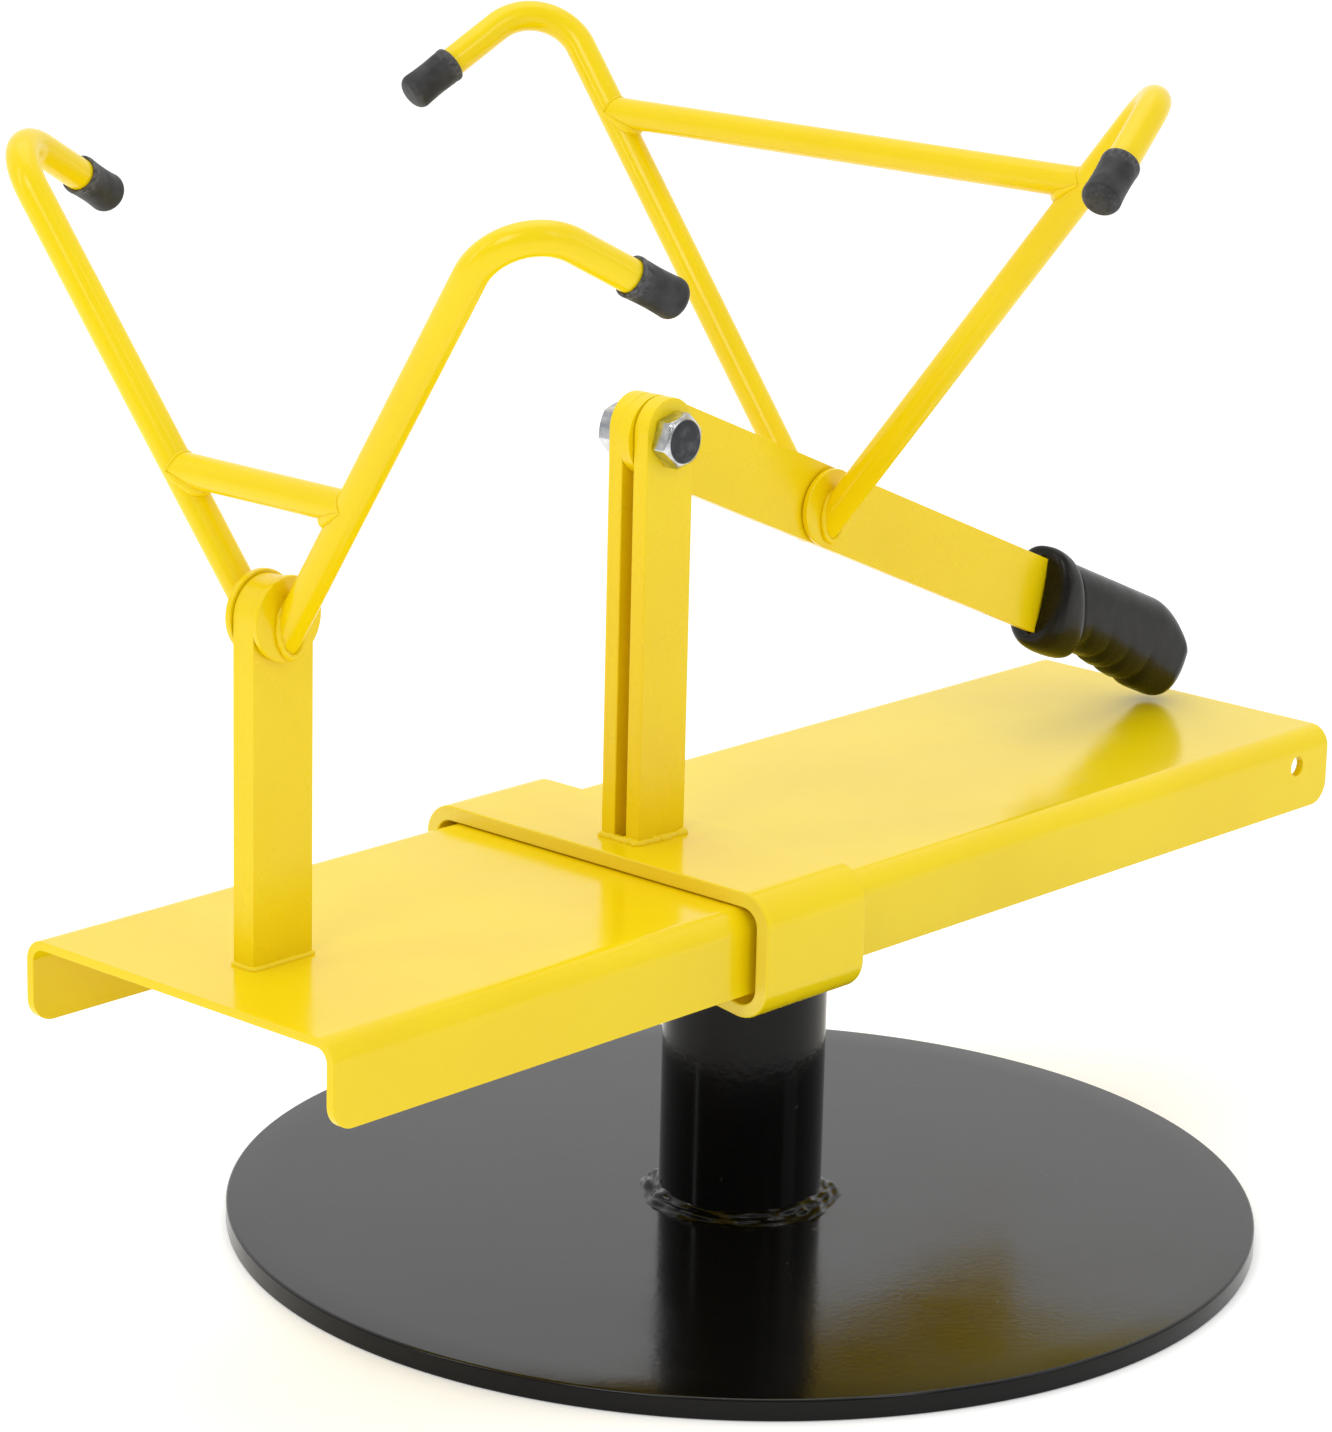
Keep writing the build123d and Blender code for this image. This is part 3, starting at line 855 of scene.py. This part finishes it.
def finger_notch(x):
    """How deep the narrow notches between the finger bumps are at x."""
    first, pitch, count, reach, depth = 0.334, 0.019, 4, 0.0065, 0.0024
    deepest = 0.0
    for notch in range(count):
        near = max(0.0, 1 - abs(x - first - notch * pitch) / reach)
        deepest = max(deepest, depth * near**1.5)
    return deepest


def slot_rings():
    """Rings (share, along, top, bottom, half width) of the lip round the bar's slot."""
    lip = ((0.004, 0.0187, 0.0036), (0.0004, 0.0188, 0.0038), (0.0, 0.0193, 0.0044))
    return [(0.0, depth, tall, -tall, half) for depth, tall, half in lip]


def guard_rings():
    """Rings of the guard, with the share of its thickness that each has reached."""
    count, power = 30, 2.8
    rings = []
    for i in range(1, count + 1):
        t = i / count
        swell = (1 - abs(2 * t - 1) ** power) ** (1 / power) if t < 1 else 0.0
        top = 0.0203 + (0.0046 - 0.001 * t) * swell
        bottom = -0.0200 - 0.0062 * swell
        half = 0.0125 + 0.0022 * fade(t * 6) + 0.0034 * swell
        rings.append((t, 0.0, top, bottom, half))
    return rings


def body_rings():
    """Rings of the body, closer together towards its rounded end. Their share is None."""
    count, neck_top, neck_half, neck_length = 170, 0.0200, 0.0142, 0.003
    rings = []
    for i in range(1, count + 1):
        t = i / count
        x = GRIP_BODY_START + (GRIP_END - GRIP_BODY_START) * (t + 0.35 * t * (1 - t))
        top, bottom, half = grip_ring(x)
        settle = fade((x - GRIP_BODY_START) / neck_length)
        top = neck_top + (top - neck_top) * settle
        half = neck_half + (half - neck_half) * settle
        rings.append((None, x, top, bottom, half))
    return rings


def grip_point(ring, angle):
    """One point of a ring: along the lever from its pivot, across it and up from it."""
    share, x, top, bottom, half = ring
    c, s = math.cos(angle), math.sin(angle)
    square = 2.0 / 2.45
    across = half * math.copysign(abs(c) ** square, c)
    z = (top if s > 0 else -bottom) * math.copysign(abs(s) ** square, s)
    in_body = share is None
    if in_body and s < 0:
        z += finger_notch(x) * abs(s) ** 1.6
        across *= 1 - 9 * finger_notch(x) * abs(s) ** 0.7

    # the guard slants, its back more than its front, and the body takes the slant up
    front = GUARD_FRONT - 0.004 * z / 0.025
    back = GUARD_BACK - 0.012 * z / 0.025
    if in_body:
        along = x + (back - GUARD_BACK) * (1 - fade((x - GRIP_BODY_START) / 0.055))
    else:
        along = front + share * (back - front) + x
    return along, across, z


def grip_mesh():
    """A moulded grip: a slot round the bar, a slanting guard, then the body with finger bumps."""
    droop = math.radians(GRIP_DROOP)
    axis = Vector((math.cos(droop), 0, -math.sin(droop)))
    up = Vector((math.sin(droop), 0, math.cos(droop)))
    sides = 80
    rings = slot_rings() + guard_rings() + body_rings()
    points, faces = [], []
    for ring in rings:
        for k in range(sides):
            along, across, z = grip_point(ring, 2 * math.pi * k / sides)
            points.append(bolt_at + axis * along + up * z + Vector((0, across, 0)))
    for i in range(len(rings) - 1):
        a, b = i * sides, (i + 1) * sides
        for k in range(sides):
            n = (k + 1) % sides
            faces.append((a + k, a + n, b + n, b + k))
    faces.append(tuple(range(sides)))
    faces.append(tuple(reversed([(len(rings) - 1) * sides + k for k in range(sides)])))
    mesh = mesh_of("grip_vinyl", points, faces, 60)
    work = bmesh.new()
    work.from_mesh(mesh)
    bmesh.ops.recalc_face_normals(work, faces=work.faces)
    work.to_mesh(mesh)
    work.free()
    shade(mesh, 60)
    return mesh


make_piece("grip_vinyl", grip_mesh(), "lever", grip_material, "grip_rubber", "grip")

# ---------------------------------------------------------------- floor, camera and light
CAMERA_AT = Vector((-1.5607, -1.3580, 0.8116))
CAMERA_AZIMUTH = math.radians(47.565)


def build_floor():
    """A pale floor just under the base, glowing a little so that it stays near white."""
    s = Shader("pale_floor", linear(244, 244, 243), 0.55)
    tone = s.ramp(s.noise(1.5, 3), 0.3, 0.7)
    s.color(s.color_mix(tone, linear(246, 246, 245), linear(241, 241, 240)))
    s.bump(s.noise(80, 3), 0.0002)
    s.bsdf.inputs["Emission Color"].default_value = (1, 1, 1, 1)
    s.bsdf.inputs["Emission Strength"].default_value = 0.28
    reach, level = 40.0, -0.0002
    corners = [(x, y, level) for x, y in ((-reach, -reach), (reach, -reach), (reach, reach), (-reach, reach))]
    mesh = bpy.data.meshes.new("floor")
    mesh.from_pydata(corners, [], [(0, 1, 2, 3)])
    floor = bpy.data.objects.new("floor", mesh)
    bpy.context.scene.collection.objects.link(floor)
    mesh.materials.append(s.material)


def build_camera():
    """The camera fitted to the photograph: its place, where it looks, and its roll."""
    azimuth, down, roll = CAMERA_AZIMUTH, math.radians(15.077), math.radians(1.273)
    flat = math.cos(down)
    look = Vector((flat * math.sin(azimuth), flat * math.cos(azimuth), -math.sin(down)))
    level = Vector((math.cos(azimuth), -math.sin(azimuth), 0))
    above = level.cross(look)
    right = level * math.cos(roll) + above * math.sin(roll)
    upward = above * math.cos(roll) - level * math.sin(roll)
    data = bpy.data.cameras.new("camera")
    data.sensor_width = 36
    data.lens = 118.2
    data.shift_x = 0.0166
    data.shift_y = -0.0208
    camera = bpy.data.objects.new("camera", data)
    bpy.context.scene.collection.objects.link(camera)
    turned = Matrix((right, upward, -look)).transposed().to_4x4()
    camera.matrix_world = Matrix.Translation(CAMERA_AT) @ turned
    bpy.context.scene.camera = camera


def area_light(name, place, target, width, height, power):
    data = bpy.data.lights.new(name, "AREA")
    data.shape = "RECTANGLE"
    data.size, data.size_y = width, height
    data.energy = power
    light = bpy.data.objects.new(name, data)
    light.location = place
    light.rotation_mode = "QUATERNION"
    light.rotation_quaternion = (Vector(target) - Vector(place)).to_track_quat("-Z", "Y")
    bpy.context.scene.collection.objects.link(light)


def build_world():
    """A white room, brighter on the side that the camera looks towards. The camera sees it plain."""
    world = bpy.data.worlds.new("studio")
    bpy.context.scene.world = world
    world.use_nodes = True
    nodes, links = world.node_tree.nodes, world.node_tree.links
    nodes.clear()
    place = nodes.new("ShaderNodeTexCoord")
    spread = nodes.new("ShaderNodeVectorMath")
    spread.operation = "DOT_PRODUCT"
    spread.inputs[1].default_value = (math.sin(CAMERA_AZIMUTH), math.cos(CAMERA_AZIMUTH), 0.35)
    ramp = nodes.new("ShaderNodeMapRange")
    ramp.interpolation_type = "SMOOTHSTEP"
    for socket, value in (("From Min", -0.7), ("From Max", 0.8), ("To Min", 0.42), ("To Max", 1.02)):
        ramp.inputs[socket].default_value = value
    light_path = nodes.new("ShaderNodeLightPath")
    mix = nodes.new("ShaderNodeMix")
    factor, lit, seen = mix.inputs[0], mix.inputs[2], mix.inputs[3]
    seen.default_value = 0.94
    background = nodes.new("ShaderNodeBackground")
    background.inputs["Color"].default_value = (1, 1, 1, 1)
    output = nodes.new("ShaderNodeOutputWorld")
    links.new(place.outputs["Generated"], spread.inputs[0])
    links.new(spread.outputs["Value"], ramp.inputs["Value"])
    links.new(light_path.outputs["Is Camera Ray"], factor)
    links.new(ramp.outputs["Result"], lit)
    links.new(mix.outputs[0], background.inputs["Strength"])
    links.new(background.outputs[0], output.inputs[0])


build_floor()
build_camera()
area_light("key_softbox", (-2.6, -0.6, 2.4), (0, 0, 0.25), 1.2, 1.2, 20)
area_light("overhead_softbox", (0.3, 0.6, 3.2), (0, 0, 0.2), 2.6, 2.2, 19)
area_light("side_softbox", (1.2, -2.8, 1.6), (0, 0, 0.3), 1.2, 1.6, 7)
area_light("strip_left", (-2.3, 1.1, 1.5), (0, 0, 0.4), 0.16, 1.8, 7)
area_light("strip_front", (-0.4, -2.6, 2.2), (0, 0, 0.4), 0.16, 1.8, 8)
build_world()

bpy.context.scene.view_settings.view_transform = "Standard"
bpy.context.scene.view_settings.look = "None"
